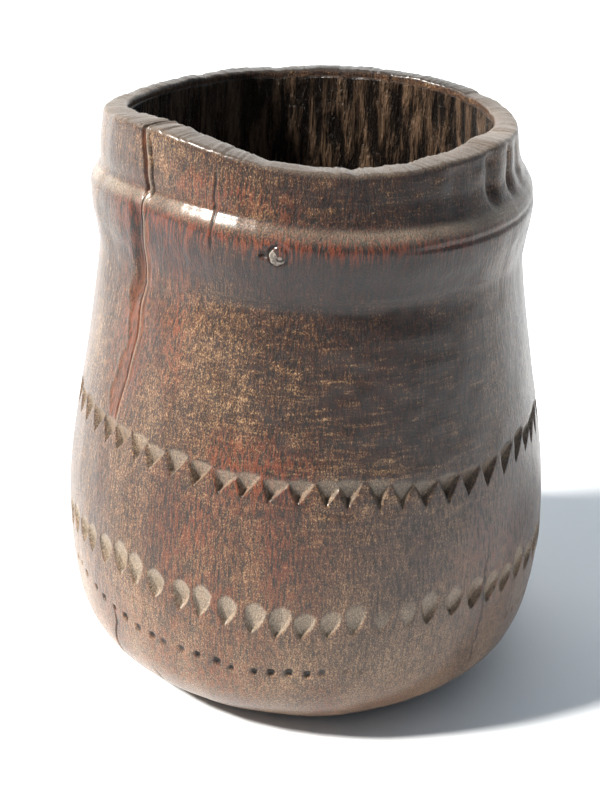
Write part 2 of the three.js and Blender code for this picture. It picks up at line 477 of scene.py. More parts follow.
# Fine upright cracks: (azimuth, lowest and highest share of the height, depth in mm)
HAIR_CRACKS = (
    (-114.8, 0.84, 0.97, 0.32),
    (-46, 0.1, 0.33, 0.3),
    (-127, 0.03, 0.1, 0.22),
    (64, 0.45, 1.0, 0.45),
    (118, 0.02, 0.33, 0.4),
    (171, 0.62, 0.99, 0.35),
    (20, 0.55, 0.9, 0.3),
)


def hair_cracks(azimuth, z, radius):
    """Depth in mm of the fine upright cracks."""
    depth = np.zeros_like(z)
    level = z / HEIGHT
    for at, low, high, deep in HAIR_CRACKS:
        wander = 0.25 * np.sin(level * 47 + at) + 0.15 * np.sin(level * 120)
        across = np.radians(turn(azimuth, at + wander)) * radius
        span = smooth(level, low, low + 0.03) * smooth(level, high + 0.01, high - 0.02)
        depth = np.maximum(depth, deep * span * smooth(np.abs(across), 0.4, 0.1))
    return depth


def peg_ring(azimuth, z, radius):
    """1 in the gap round the peg, most of all on its left, and in a small pit left of it; painted dark,
    the heavier left side is painted shade.
    """
    peg_azimuth = np.degrees(np.arctan2(PEG_CENTRE.y, PEG_CENTRE.x + LEAN))
    across = np.radians(turn(azimuth, peg_azimuth)) * radius
    away = np.hypot(across, z - PEG_CENTRE.z - 0.9)
    ring = smooth(np.abs(away - PEG_RADIUS - 0.25), 0.55, 0.15)
    pit = smooth(np.hypot(across + 3.1, z - PEG_CENTRE.z - 0.6), 1.2, 0.5)
    return np.clip(ring * (0.6 - 0.3 * across / PEG_RADIUS) + 0.8 * pit, 0, 1)


# Upright hollows in the right of the collar, and the swelling that they are cut in:
# (azimuth, width in degrees, depth or height in mm)
COLLAR_GOUGES = ((-35.5, 2.2, 1.5), (-24.5, 1.8, 1.3), (-15, 2.5, 0.6), (-50, 4, 0.25))
COLLAR_SWELL = ((-29, 9, 0.6),)

# Small chips knocked out of the rim, in the same form
RIM_NICKS = (
    (-79, 1.6, 0.35),
    (-101, 2.5, 0.2),
    (-62, 2, 0.25),
    (102, 3, 0.4),
    (128, 2, 0.3),
    (33, 2.5, 0.35),
)


def collar_gouges(azimuth, z):
    """Depth in mm of the collar's hollows, less the swelling that they are cut in."""
    level = z / HEIGHT
    on_collar = smooth(level, 0.9, 0.93) * smooth(level, 1.0, 0.975)
    swell = humps(azimuth, COLLAR_SWELL) * smooth(level, 0.92, 0.98)
    return humps(azimuth, COLLAR_GOUGES) * on_collar - swell


# ---- The wall's mesh --------------------------------------------------------------------


def wall_rows():
    """The closed profile's radii, heights and zones.

    The zones are 0 outside, 1 on the collar and over the rim, 2 in the cavity and 3 at the seat.
    """
    outside = spaced(outside_profile(), outside_step)
    collar = spaced(collar_profile(), collar_step)[1:]
    cavity = spaced(cavity_profile(), cavity_step)[1:]
    seat = seat_profile()
    stretches = [outside, collar, cavity, seat]
    zone = np.repeat([0.0, 1.0, 2.0, 3.0], [len(stretch) for stretch in stretches])
    line = np.vstack(stretches)
    return line[:, 0], line[:, 1], zone


def row_normals(r, z):
    """The profile's outward normal at each row, as (radial, upward)."""
    dr = np.roll(r, -1) - np.roll(r, 1)
    dz = np.roll(z, -1) - np.roll(z, 1)
    length = np.hypot(dr, dz)
    return dz / length, -dr / length


# Relief that is left by tools and drying: (height in mm, cells round, step in mm, seed)
OUTSIDE_RELIEF = ((0.3, 9, 34, 11), (0.16, 26, 17, 12), (0.07, 74, 11, 13), (0.03, 210, 9, 14))
RIPPLE_RELIEF = ((0.06, 80, 2.2, 15),)
SHOULDER_RELIEF = ((0.14, 60, 4, 16),)
FINE_RELIEF = ((0.02, 200, 2.5, 17),)
CAVITY_RELIEF = ((0.3, 22, 40, 21), (0.22, 64, 26, 22), (0.12, 150, 12, 23))


def relief(azimuth, z, table):
    """The sum of smooth noises in mm."""
    return sum(height * lattice(azimuth, z, around, step, seed) for height, around, step, seed in table)


def outside_relief(azimuth, z):
    """The outside's waviness in mm, with drying ripples in front and bumps on the shoulder."""
    ripples = 0.3 + 0.9 * hump(azimuth, -55, 45)
    shoulder = smooth(z, 96, 103) * smooth(z, 116, 110)
    waves = relief(azimuth, z, OUTSIDE_RELIEF) + relief(azimuth, z, RIPPLE_RELIEF) * ripples
    return waves + relief(azimuth, z, SHOULDER_RELIEF) * shoulder + relief(azimuth, z, FINE_RELIEF)


def lathe_lines(azimuth, z):
    """Depth in mm of the groove under the ledge and of the line scored above the pits."""
    span = smooth(turn(azimuth, -40), -32, -12) * smooth(turn(azimuth, -40), 60, 40)
    groove = 0.4 * ridge(z, LEDGE_Z - 3.1, 0.6) * span
    return groove + 0.14 * ridge(z, 30.7, 0.35) * hump(azimuth, -122, 24)


def shoulder_crease(azimuth, z):
    """Depth in mm of the undercut below the shoulder, which ends in a wavy upper edge."""
    edge = 101.3 - 2.6 * hump(azimuth, -130, 14) + 0.8 * lattice(azimuth, z * 0, 24, 9, 31)
    depth = 0.95 * smooth(z, edge - 9, edge) * smooth(z, edge + 0.9, edge - 0.1)
    return depth * np.clip(hump(azimuth, -88, 48) + 0.6 * hump(azimuth, 95, 60), 0, 1)


def floor_mask(azimuth, upper, lower):
    """The pale floors of the chips, darker where the bands are worn in front."""
    upper_share = 0.55 - 0.25 * hump(azimuth, -50, 24)
    lower_share = 0.85 - 0.35 * hump(azimuth, -62, 24)
    return np.maximum(upper_share * smooth(upper, 0.06, 0.4), lower_share * smooth(lower, 0.05, 0.3))


def carve(azimuth, r, z, zone):
    """Displacement along the normal in mm over the whole grid, and the masks that go with it."""
    out = (zone <= 1).astype(float) * smooth(z, 0.4, 3)
    body = out * smooth(z, LEDGE_Z + 0.3, LEDGE_Z - 0.6)
    inner = (zone == 2).astype(float)
    upper = chips(azimuth, z, r, UPPER_BAND)
    lower = chips(azimuth, z, r, LOWER_BAND)
    dots = pits(azimuth, z, r, PIT_ROW)
    split, lip, raw, split_and_painted_shade = long_crack(azimuth, z, r)
    hair = hair_cracks(azimuth, z, r)
    ring = peg_ring(azimuth, z, r)

    push = out * outside_relief(azimuth, z) + inner * relief(azimuth, z, CAVITY_RELIEF)
    cuts = upper + lower + dots + lathe_lines(azimuth, z) + shoulder_crease(azimuth, z) + 0.7 * ring
    push = push - body * cuts - out * (split + hair - lip + collar_gouges(azimuth, z))
    # The dark of the cracks is their own; the dark in the pits, in the hollow by the crack and in the
    # gap round the peg is painted shade.
    openings_and_painted_shade = split_and_painted_shade + smooth(hair, 0.08, 0.25) + body * smooth(dots, 0.12, 0.45) + 0.8 * ring
    masks = {
        "floor": body * floor_mask(azimuth, upper, lower),
        "crack": out * np.clip(openings_and_painted_shade, 0, 1),
        "raw": out * raw,
        "lip": out * np.clip(2.5 * lip, 0, 1),
    }
    return push, masks


# Zones of colour on the wall: (amount, azimuth, width in degrees, level and height as
# shares of the vessel's height)
ZONES = {
    # The dark zones are partly darker wood and partly painted shade, the shade mostly on the front of
    # the collar and shoulder and on the shoulder left of the crack.
    "dark": (
        (1.1, -66, 34, 0.66, 0.14),
        (0.9, -70, 28, 0.97, 0.07),
        (0.8, -90, 40, 0.84, 0.05),
        (0.9, -64, 28, 0.85, 0.07),
        (0.8, -134, 14, 0.84, 0.06),
        (0.35, -100, 24, 0.96, 0.06),
        (0.5, -145, 4, 0.42, 0.12),
        (0.7, 110, 60, 0.68, 0.24),
        (0.5, 20, 35, 0.8, 0.2),
    ),
    "gold": (
        (1.1, -106, 20, 0.64, 0.12),
        (0.8, -112, 26, 0.96, 0.04),
        (0.6, 60, 40, 0.62, 0.15),
        (0.7, 170, 30, 0.6, 0.2),
    ),
    "red": (
        (1.0, -112, 16, 0.93, 0.03),
        (1.4, -88, 40, 0.88, 0.018),
        (0.8, -134, 12, 0.87, 0.03),
        (0.9, -103, 12, 0.52, 0.045),
        (0.8, -106, 20, 0.36, 0.1),
        (0.9, -142, 7, 0.7, 0.2),
        (0.6, -125, 6, 0.72, 0.12),
        (0.5, -42, 20, 0.3, 0.14),
        (0.6, -125, 30, 0.14, 0.1),
        (0.5, -78, 24, 0.08, 0.06),
        (0.5, 90, 60, 0.35, 0.2),
    ),
    "ripple": ((1.0, -72, 34, 0.62, 0.18), (1.0, -68, 30, 0.95, 0.05)),
    # The gloss zone is smoother wood, and its grey tint is a painted sheen: the shoulder's underside
    # reflecting the floor.
    "gloss_and_painted_sheen": ((1.0, -86, 50, 0.82, 0.04),),
    # The pale zones on the right side are a painted sheen: grazing reflections laid into the colour.
    "painted_side_sheen": ((1.0, -6, 22, 0.62, 0.26), (0.35, -50, 26, 0.36, 0.14)),
}

# Where the top of the rim is lighter and darker: (azimuth, width in degrees, amount)
RIM_TONES = ((178, 50, 0.5), (-5, 50, 0.45), (90, 60, -0.9))


def zones(azimuth, z, name):
    return sum(amount * patch(azimuth, z, *place) for amount, *place in ZONES[name])


def patina_and_painted_light(azimuth, z, zone, masks):
    """Adds the masks painted on the wall that the wood material reads, each from 0 to 1; the dark zones
    are partly painted shade, the gloss and right-side zones painted sheen.
    """
    soft = 0.5 + 0.5 * lattice(azimuth, z, 18, 13, 41)
    fine = 0.5 + 0.5 * lattice(azimuth, z, 60, 9, 42)
    edge = ridge(z, LEDGE_Z - 0.6, 1.0) + ridge(z, LEDGE_Z + 0.4, 0.7)
    below_crease = smooth(z, 102.5, 99.5) + smooth(z, LEDGE_Z, LEDGE_Z + 1)
    mouth = (zone == 2) * smooth(z, HEIGHT - 1.2, HEIGHT - 2.4)
    painted = {
        "edge": (zone <= 1) * edge * (0.25 + 0.9 * soft * fine),
        "rim": smooth(z, HEIGHT - 1.15, HEIGHT - 0.65) * (zone <= 2),
        "rim_tone": 0.28 + humps(azimuth, RIM_TONES),
        "dark": zones(azimuth, z, "dark") * (0.7 + 0.5 * soft) + 0.2 * (fine - 0.5),
        "gold": zones(azimuth, z, "gold") * (0.6 + 0.6 * soft) * below_crease,
        "red": zones(azimuth, z, "red") * (0.3 + 1.1 * fine),
        "ripple": zones(azimuth, z, "ripple"),
        "gloss_and_painted_sheen": zones(azimuth, z, "gloss_and_painted_sheen") * (0.7 + 0.5 * soft),
        "painted_side_sheen": zones(azimuth, z, "painted_side_sheen") * (0.6 + 0.5 * fine),
        "pale": smooth(z / HEIGHT, 0.42, 0.04) * (0.6 + 0.35 * soft),
        "cavity": mouth + (zone == 3),
    }
    masks.update({name: np.clip(mask, 0, 1) for name, mask in painted.items()})
    return masks


def radial_shift(azimuth, r, z, zone):
    """How far out of round the wall is in mm: the body follows the ledge, the collar the rim."""
    on_collar = smooth(z, LEDGE_Z + 0.2, LEDGE_Z + 6)
    body = lobes(azimuth, LEDGE_LOBES) * smooth(z, 0.42 * HEIGHT, 0.88 * HEIGHT)
    outside = body * (1 - on_collar) + lobes(azimuth, RIM_LOBES) * on_collar
    inside = lobes(azimuth, MOUTH_LOBES) * smooth(z, 0.35 * HEIGHT, HEIGHT)
    over_rim = smooth(r, RIM_RADIUS - 0.2, MOUTH_RADIUS + 0.2)
    over = np.where(zone == 1, over_rim, (zone >= 2) * 1.0)
    return outside * (1 - over) + inside * over


def height_shift(azimuth, z, zone):
    """How far the ledge and the rim rise or fall in mm."""
    ledge = lobes(azimuth, LEDGE_RISE) * smooth(z, 0.78 * HEIGHT, 0.89 * HEIGHT)
    up = smooth(z, LEDGE_Z + 1, HEIGHT - 0.5)
    return (ledge * (1 - up) + lobes(azimuth, RIM_RISE) * up) * (zone <= 2)


def closed_faces(rows, columns):
    """Four-sided faces over a grid of points that closes on itself both ways."""
    i = np.arange(rows)[:, None] * columns
    j = np.arange(columns)[None, :]
    i2, j2 = (i + columns) % (rows * columns), (j + 1) % columns
    return np.stack([i + j, i + j2, i2 + j2, i2 + j], -1).reshape(-1, 4)


def build_wall():
    """The wall's points in metres, its faces and its masks."""
    azimuths = column_azimuths()
    row_r, row_z, row_zone = wall_rows()
    normal_r, normal_z = row_normals(row_r, row_z)
    azimuth = np.broadcast_to(azimuths, (len(row_r), COLUMNS))
    r, z, zone = (np.broadcast_to(v[:, None], azimuth.shape) for v in (row_r, row_z, row_zone))

    out_of_round = radial_shift(azimuth, r, z, zone)
    push, masks = carve(azimuth, r + out_of_round, z, zone)
    masks = patina_and_painted_light(azimuth, z, zone, masks)

    new_r = r + out_of_round + push * normal_r[:, None]
    near_rim = smooth(z, LEDGE_Z + 3, HEIGHT) * (zone <= 2)
    fibres = 0.12 * lattice(azimuth, r * 8, 420, 6, 51) + 0.16 * lattice(azimuth, r * 3, 90, 7, 52)
    new_z = z + push * normal_z[:, None] + height_shift(azimuth, z, zone)
    new_z = new_z - near_rim * humps(azimuth, RIM_NICKS) + masks["rim"] * fibres
    lean = -LEAN * np.clip((z / HEIGHT - 0.27) / 0.73, 0, 1)
    x = new_r * np.cos(azimuth) + lean
    y = new_r * np.sin(azimuth)
    points = np.stack([x, y, np.maximum(new_z, 0)], -1).reshape(-1, 3) * MM

    flat_masks = {name: np.ascontiguousarray(mask).reshape(-1) for name, mask in masks.items()}
    return points, closed_faces(len(row_r), COLUMNS), flat_masks


def mesh_object(name, points, faces, masks):
    """A smooth-shaded mesh object from arrays, with one float attribute for each mask."""
    mesh = bpy.data.meshes.new(name)
    mesh.vertices.add(len(points))
    mesh.vertices.foreach_set("co", np.asarray(points, np.float32).ravel())
    sides = faces.shape[1]
    mesh.loops.add(faces.size)
    mesh.loops.foreach_set("vertex_index", faces.astype(np.int32).ravel())
    mesh.polygons.add(len(faces))
    mesh.polygons.foreach_set("loop_start", np.arange(len(faces), dtype=np.int32) * sides)
    mesh.update(calc_edges=True)
    mesh.validate()
    for key, values in masks.items():
        layer = mesh.attributes.new(key, "FLOAT", "POINT")
        layer.data.foreach_set("value", np.asarray(values, np.float32))
    mesh.polygons.foreach_set("use_smooth", np.ones(len(faces), bool))
    made = bpy.data.objects.new(name, mesh)
    bpy.context.scene.collection.objects.link(made)
    return made


# ---- The bottom disc and the peg ------------------------------------------------------------


def ring_faces(rows, columns):
    """Four-sided faces that join rings of points, each of `columns` points."""
    i = np.arange(rows - 1)[:, None] * columns
    j = np.arange(columns)[None, :]
    j2 = (j + 1) % columns
    return np.stack([i + j, i + j2, i + columns + j2, i + columns + j], -1).reshape(-1, 4).tolist()


def capped_object(name, points, rows, columns):
    """A smooth-shaded object of joined rings in mm, closed by a flat face at each end."""
    first = list(range(columns))[::-1]
    last = [(rows - 1) * columns + k for k in range(columns)]
    mesh = bpy.data.meshes.new(name)
    mesh.from_pydata((points * MM).tolist(), [], [*ring_faces(rows, columns), first, last])
    mesh.polygons.foreach_set("use_smooth", np.ones(len(mesh.polygons), bool))
    made = bpy.data.objects.new(name, mesh)
    bpy.context.scene.collection.objects.link(made)
    return made


def disc_edge(face, low, high):
    """(radius, height) up the disc's edge, past the tongue that fits the groove."""
    return [
        (face - 1.6, low),
        (face - 0.3, low + 0.5),
        (face, low + 1.3),
        (face, GROOVE_LOW + 0.5),
        (DISC_TONGUE - 0.15, GROOVE_LOW + 1.0),
        (DISC_TONGUE, GROOVE_LOW + 1.6),
        (DISC_TONGUE, GROOVE_HIGH - 1.6),
        (DISC_TONGUE - 0.15, GROOVE_HIGH - 1.0),
        (face, GROOVE_HIGH - 0.5),
        (face, high - 1.2),
        (face - 0.4, high - 0.35),
        (face - 1.3, high),
    ]


def build_disc():
    """A board with a bevelled edge, slightly dished by the tool that trued it."""
    face = SEAT_RADIUS - FIT_GAP
    low = DISC_LOW.z / MM
    high = DISC_HIGH.z / MM
    rings = np.linspace(0.6, face - 1.6, 46)
    under = [(r, low) for r in rings[:-1]]
    over = [(r, high) for r in rings[::-1][1:]]
    line = np.array([*under, *disc_edge(face, low, high), *over])
    azimuth = np.linspace(0, 2 * pi, DISC_COLUMNS, endpoint=False)
    r, z = line[:, :1], line[:, 1:]
    x = r * np.cos(azimuth)
    y = r * np.sin(azimuth)
    strokes = lattice(np.arctan2(y, x * 0 + 30), x + 60, 40, 7, 61)
    marks = strokes + 0.6 * lattice(x / 70 * pi, y + 70, 60, 26, 62)
    inside = smooth(r, face - 1, face - 5)
    z = z + inside * np.where(z > (low + high) / 2, -0.25 - 0.18 * marks, 0.2 + 0.12 * marks)
    points = np.stack([x, y, z + 0 * x], -1).reshape(-1, 3)
    return capped_object("bottom_board", points, len(line), DISC_COLUMNS)


def build_peg():
    """A worn, slightly domed peg end that lies along the shoulder's radius."""
    azimuth = np.arctan2(PEG_CENTRE.y, PEG_CENTRE.x + LEAN)
    out = np.array([np.cos(azimuth), np.sin(azimuth), 0])
    side = np.array([-np.sin(azimuth), np.cos(azimuth), 0])
    upright = np.array([0, 0, 1])
    face = np.array(PEG_CENTRE) + out * PEG_FACE_OUT
    dome = [(PEG_RADIUS * np.cos(t), 0.3 * np.sin(t)) for t in np.linspace(0.3, 1.5, 7)]
    rings = [(PEG_RADIUS * 0.96, -PEG_LENGTH), (PEG_RADIUS, -1.0), (PEG_RADIUS, -0.3), *dome]
    angle = np.linspace(0, 2 * pi, PEG_COLUMNS, endpoint=False)
    uneven = 1 + 0.05 * np.sin(3 * angle + 1) + 0.03 * np.sin(7 * angle)
    points = []
    for radius, along in rings:
        wear = 0.1 * np.sin(2 * angle + 2) * (along > -0.5)
        across = (radius * uneven * np.cos(angle))[:, None] * side
        up = (radius * uneven * np.sin(angle))[:, None] * upright
        points.append(face + across + up + (along + wear)[:, None] * out)
    return capped_object("worn_peg", np.vstack(points), len(rings), PEG_COLUMNS)


# ---- Materials --------------------------------------------------------------------------------


class Nodes:
    """A small helper that adds nodes to a material and joins them up."""

    def __init__(self, name):
        self.material = bpy.data.materials.new(name)
        self.material.use_nodes = True
        self.tree = self.material.node_tree
        self.tree.nodes.clear()
        self.shader = self.add("ShaderNodeBsdfPrincipled")
        result = self.add("ShaderNodeOutputMaterial")
        self.join(self.shader.outputs[0], result.inputs[0])
        self.place = self.add("ShaderNodeTexCoord").outputs["Object"]

    def share(self, name, amount):
        """A mask times an amount."""
        return self.math("MULTIPLY", self.mask(name), amount)

    def sway(self, value, amount):
        """(value - 0.5) * amount, so that noise pushes both ways."""
        return self.math("MULTIPLY", self.math("SUBTRACT", value, 0.5), amount)

    def add(self, kind, **settings):
        made = self.tree.nodes.new(kind)
        for key, value in settings.items():
            setattr(made, key, value)
        return made

    def join(self, source, target):
        if hasattr(source, "links"):
            self.tree.links.new(source, target)
        else:
            target.default_value = source
        return target

    def mask(self, name):
        return self.add("ShaderNodeAttribute", attribute_name=name).outputs["Fac"]

    def math(self, kind, a, b=0.0, clamp=False):
        made = self.add("ShaderNodeMath", operation=kind, use_clamp=clamp)
        self.join(a, made.inputs[0])
        self.join(b, made.inputs[1])
        return made.outputs[0]

    def stretch(self, scale):
        made = self.add("ShaderNodeMapping")
        self.join(self.place, made.inputs["Vector"])
        made.inputs["Scale"].default_value = scale
        return made.outputs[0]

    def noise(self, scale, detail=3.0, rough=0.55, stretch=(1, 1, 1), warp=0.0):
        made = self.add("ShaderNodeTexNoise")
        self.join(self.stretch(stretch), made.inputs["Vector"])
        made.inputs["Scale"].default_value = scale
        made.inputs["Detail"].default_value = detail
        made.inputs["Roughness"].default_value = rough
        made.inputs["Distortion"].default_value = warp
        return made.outputs["Fac"]

    def ramp(self, value, low, high):
        made = self.add("ShaderNodeMapRange", interpolation_type="SMOOTHSTEP")
        self.join(value, made.inputs["Value"])
        made.inputs["From Min"].default_value = low
        made.inputs["From Max"].default_value = high
        return made.outputs[0]

    def blend(self, amount, a, b, kind="MIX"):
        made = self.add("ShaderNodeMix", data_type="RGBA", blend_type=kind)
        self.join(amount, made.inputs["Factor"])
        for value, socket in ((a, "A"), (b, "B")):
            colour = value if hasattr(value, "links") else (*value, 1.0)
            self.join(colour, made.inputs[socket])
        return made.outputs["Result"]

    def tones(self, value, stops):
        made = self.add("ShaderNodeValToRGB")
        self.join(value, made.inputs["Fac"])
        ramp = made.color_ramp.elements
        while len(ramp) < len(stops):
            ramp.new(0.5)
        for stop, (place, colour) in zip(ramp, stops):
            stop.position = place
            stop.color = (*colour, 1)
        return made.outputs["Color"]

    def bump(self, height, strength, distance, normal=None):
        made = self.add("ShaderNodeBump")
        self.join(height, made.inputs["Height"])
        made.inputs["Strength"].default_value = strength
        made.inputs["Distance"].default_value = distance
        if normal is not None:
            self.join(normal, made.inputs["Normal"])
        return made.outputs[0]


# Wood tones from darkest to lightest, and the tints laid over them (linear)
TONES = (
    (0.0, (0.006, 0.004, 0.004)),
    (0.36, (0.016, 0.008, 0.005)),
    (0.58, (0.062, 0.031, 0.014)),
    (0.78, (0.16, 0.095, 0.045)),
    (1.0, (0.34, 0.23, 0.13)),
)
RED = (0.14, 0.026, 0.008)
PINK = (0.21, 0.16, 0.138)
TAN, DARK_TAN = (0.36, 0.29, 0.215), (0.162, 0.1305, 0.09675)
RAW, DARK_RAW = (0.13, 0.04, 0.016), (0.0585, 0.018, 0.0072)
# Grey of the painted sheen under the shoulder
SHEEN_GREY = (0.018, 0.016, 0.017)
# Pale grey of the painted sheen on the right side
SIDE_SHEEN_TINT = (0.24, 0.225, 0.22)
BLACK = (0.005, 0.004, 0.004)
# The cavity's lighter tone is painted glints.
INSIDE_DARK, INSIDE_GLINT_TONE = (0.006, 0.004, 0.003), (0.12, 0.074, 0.046)
RIM_DARK, RIM_LIGHT = (0.016, 0.01, 0.006), (0.15, 0.11, 0.08)

# The shine of handled wood: its own, a faint sheen, and a thin coat of old grease
LEAST_ROUGHNESS = 0.18
SPECULAR = 0.18
SHEEN = 0.1
SHEEN_ROUGHNESS = 0.25
GREASE = 0.42
GREASE_ROUGHNESS = 0.25

# How much each mask lightens the wood's tone, and how much each roughens it
# The dark mask's darkening is partly painted shade.
TONE_SHIFTS = (("dark", -0.3), ("gold", 0.1), ("pale", 0.32))
ROUGH_SHIFTS = (
    ("floor", 0.3),
    ("rim", 0.25),
    ("pale", 0.08),
    ("gloss_and_painted_sheen", -0.06),
    ("edge", -0.12),
    ("cavity", -0.18),
)


class WoodNoises:
    """The noises that the old wood's colour and relief share."""

    def __init__(self, n):
        self.fibre = n.noise(1900, 3, 0.65, (1, 1, 0.14))
        self.grain = n.noise(4200, 2, 0.75, (1, 1, 0.6))
        self.broad = n.noise(90, 3, 0.55, (1, 1, 0.3))
        self.ripple = n.noise(600, 3, 0.6, (0.35, 0.35, 2.0), 0.4)
        self.glints = n.noise(420, 4, 0.7, (1, 1, 0.14), 0.3)


def wood_tone(n, wood):
    """The old wood's colour, from noise and from the dark, golden and pale zones; the dark zones are
    partly painted shade.
    """
    ripple_share = n.math("ADD", n.share("ripple", 1.3), 0.2)
    tone = n.math("ADD", n.sway(wood.grain, 2.1), 0.475)
    tone = n.math("ADD", tone, n.sway(wood.fibre, 0.9))
    tone = n.math("ADD", tone, n.sway(wood.broad, 0.6))
    tone = n.math("ADD", tone, n.math("MULTIPLY", n.sway(wood.ripple, 1.3), ripple_share))
    for name, amount in TONE_SHIFTS:
        tone = n.math("ADD", tone, n.share(name, amount))
    return n.tones(tone, TONES)


def stains_and_painted_sheens(n, wood, colour):
    """The pinkish foot and the red streaks, and the painted grey and pale sheens."""
    pink = n.math("MULTIPLY", n.mask("pale"), n.math("ADD", n.sway(wood.broad, 1.2), 0.5), True)
    colour = n.blend(n.math("MULTIPLY", pink, 0.4), colour, PINK)
    # Painted sheen: the gloss zone is tinted grey as if it reflected the floor.
    colour = n.blend(n.share("gloss_and_painted_sheen", 0.5), colour, SHEEN_GREY)
    # Painted sheen: pale streaks on the right side stand in for its grazing reflections.
    painted_side_sheen = n.math("MULTIPLY", n.mask("painted_side_sheen"), n.ramp(wood.fibre, 0.3, 0.62))
    colour = n.blend(n.math("MULTIPLY", painted_side_sheen, 0.6), colour, SIDE_SHEEN_TINT)
    reds = n.math("MULTIPLY", n.ramp(wood.fibre, 0.42, 0.6), n.math("ADD", n.mask("red"), 0.14, True))
    return n.blend(n.math("MULTIPLY", reds, 0.75), colour, RED)


def worn(n, wood, colour):
    """The raw wood by the crack, and the tan of worn edges and chip floors, and of the crack's raised
    lip, which is partly a painted highlight.
    """
    raw = n.blend(n.ramp(wood.fibre, 0.4, 0.6), DARK_RAW, RAW)
    tan = n.blend(n.ramp(wood.grain, 0.35, 0.65), DARK_TAN, TAN)
    colour = n.blend(n.share("raw", 0.9), colour, raw)
    # The lip's tan is partly wear and partly a painted highlight.
    for name, amount in (("edge", 0.55), ("lip", 0.6), ("floor", 0.85)):
        colour = n.blend(n.share(name, amount), colour, tan)
    return colour


def inside_and_rim(n, wood, colour):
    """The near-black cavity with painted glints, the worn rim, and the cracks, with painted shade in the
    pits, the hollow by the crack and the gap round the peg.
    """
    # Painted glints: streaks of the lighter tone over the near-black cavity.
    inside = n.blend(n.ramp(wood.glints, 0.42, 0.68), INSIDE_DARK, INSIDE_GLINT_TONE)
    colour = n.blend(n.mask("cavity"), colour, inside)
    rim_tone = n.math("ADD", n.sway(wood.grain, 1.8), n.sway(wood.broad, 0.8))
    rim_tone = n.math("ADD", rim_tone, n.mask("rim_tone"), True)
    colour = n.blend(n.mask("rim"), colour, n.blend(rim_tone, RIM_DARK, RIM_LIGHT))
    # Blacks out the cracks, and paints shade into the pits, the hollow by the crack and the gap round
    # the peg.
    return n.blend(n.share("crack", 0.9), colour, BLACK)


def wood_gloss(n, wood):
    """Roughness from the grain and the masks, and a thin hard coat of handled grease."""
    rough = n.math("ADD", n.math("MULTIPLY", wood.grain, 0.3), 0.27)
    for name, amount in ROUGH_SHIFTS:
        rough = n.math("ADD", rough, n.share(name, amount))
    n.join(n.math("MAXIMUM", rough, LEAST_ROUGHNESS), n.shader.inputs["Roughness"])
    n.shader.inputs["Specular IOR Level"].default_value = SPECULAR
    n.shader.inputs["Sheen Weight"].default_value = SHEEN
    n.shader.inputs["Sheen Roughness"].default_value = SHEEN_ROUGHNESS
    n.shader.inputs["Coat Weight"].default_value = GREASE
    n.shader.inputs["Coat Roughness"].default_value = GREASE_ROUGHNESS


def wood_relief(n, wood):
    """Fibres, grain, drying ripples and the lumps inside, as bumps."""
    ripples = n.math("MULTIPLY", wood.ripple, n.mask("ripple"))
    lumps = n.math("MULTIPLY", wood.glints, n.mask("cavity"))
    normal = n.bump(wood.fibre, 0.7, 0.0006)
    normal = n.bump(wood.grain, 0.8, 0.0004, normal)
    normal = n.bump(ripples, 0.5, 0.0005, normal)
    normal = n.bump(lumps, 1.0, 0.004, normal)
    n.join(normal, n.shader.inputs["Normal"])
    n.join(n.bump(wood.fibre, 0.1, 0.0004), n.shader.inputs["Coat Normal"])


def old_wood():
    n = Nodes("old_wood")
    wood = WoodNoises(n)
    colour = stains_and_painted_sheens(n, wood, wood_tone(n, wood))
    colour = inside_and_rim(n, wood, worn(n, wood, colour))
    n.join(colour, n.shader.inputs["Base Color"])
    wood_gloss(n, wood)
    wood_relief(n, wood)
    return n.material


def board_wood():
    n = Nodes("board_wood")
    grain = n.noise(420, 4, 0.6, (0.08, 1, 1))
    speckle = n.noise(1400, 2, 0.6)
    colour = n.blend(n.ramp(grain, 0.35, 0.65), (0.06, 0.037, 0.024), (0.15, 0.09, 0.055))
    dirt = n.math("MULTIPLY", n.ramp(speckle, 0.55, 0.35), 0.5)
    colour = n.blend(dirt, colour, (0.4, 0.35, 0.33), "MULTIPLY")
    n.join(colour, n.shader.inputs["Base Color"])
    n.join(n.math("ADD", n.math("MULTIPLY", speckle, 0.2), 0.5), n.shader.inputs["Roughness"])
    n.join(n.bump(grain, 0.6, 0.0006), n.shader.inputs["Normal"])
    return n.material


def peg_wood():
    n = Nodes("peg_wood")
    speckle = n.noise(1800, 3, 0.7)
    colour = n.blend(n.ramp(speckle, 0.35, 0.65), (0.07, 0.057, 0.047), (0.22, 0.19, 0.16))
    n.join(colour, n.shader.inputs["Base Color"])
    n.shader.inputs["Roughness"].default_value = 0.6
    n.join(n.bump(speckle, 0.5, 0.0003), n.shader.inputs["Normal"])
    return n.material


def plain(name, colour, rough):
    n = Nodes(name)
    n.shader.inputs["Base Color"].default_value = (*colour, 1)
    n.shader.inputs["Roughness"].default_value = rough
    return n.material


# ---- Stage, lights and camera ---------------------------------------------------------------------


# How bright the surroundings are in front of the vessel and behind it, their colour and the floor's
FRONT_SKY = 0.05
BACK_SKY = 0.8
SKY_COLOUR = (0.76, 0.88, 1.0, 1)
FLOOR_COLOUR = (0.76, 0.785, 0.81)

# The one lamp, seen from the vessel in degrees, with its distance and size in metres
KEY_AZIMUTH = -163
KEY_ELEVATION = 43
KEY_DISTANCE = 6
KEY_SIZE = 1.0
KEY_POWER = 1400
KEY_COLOUR = (1.0, 0.96, 0.9)


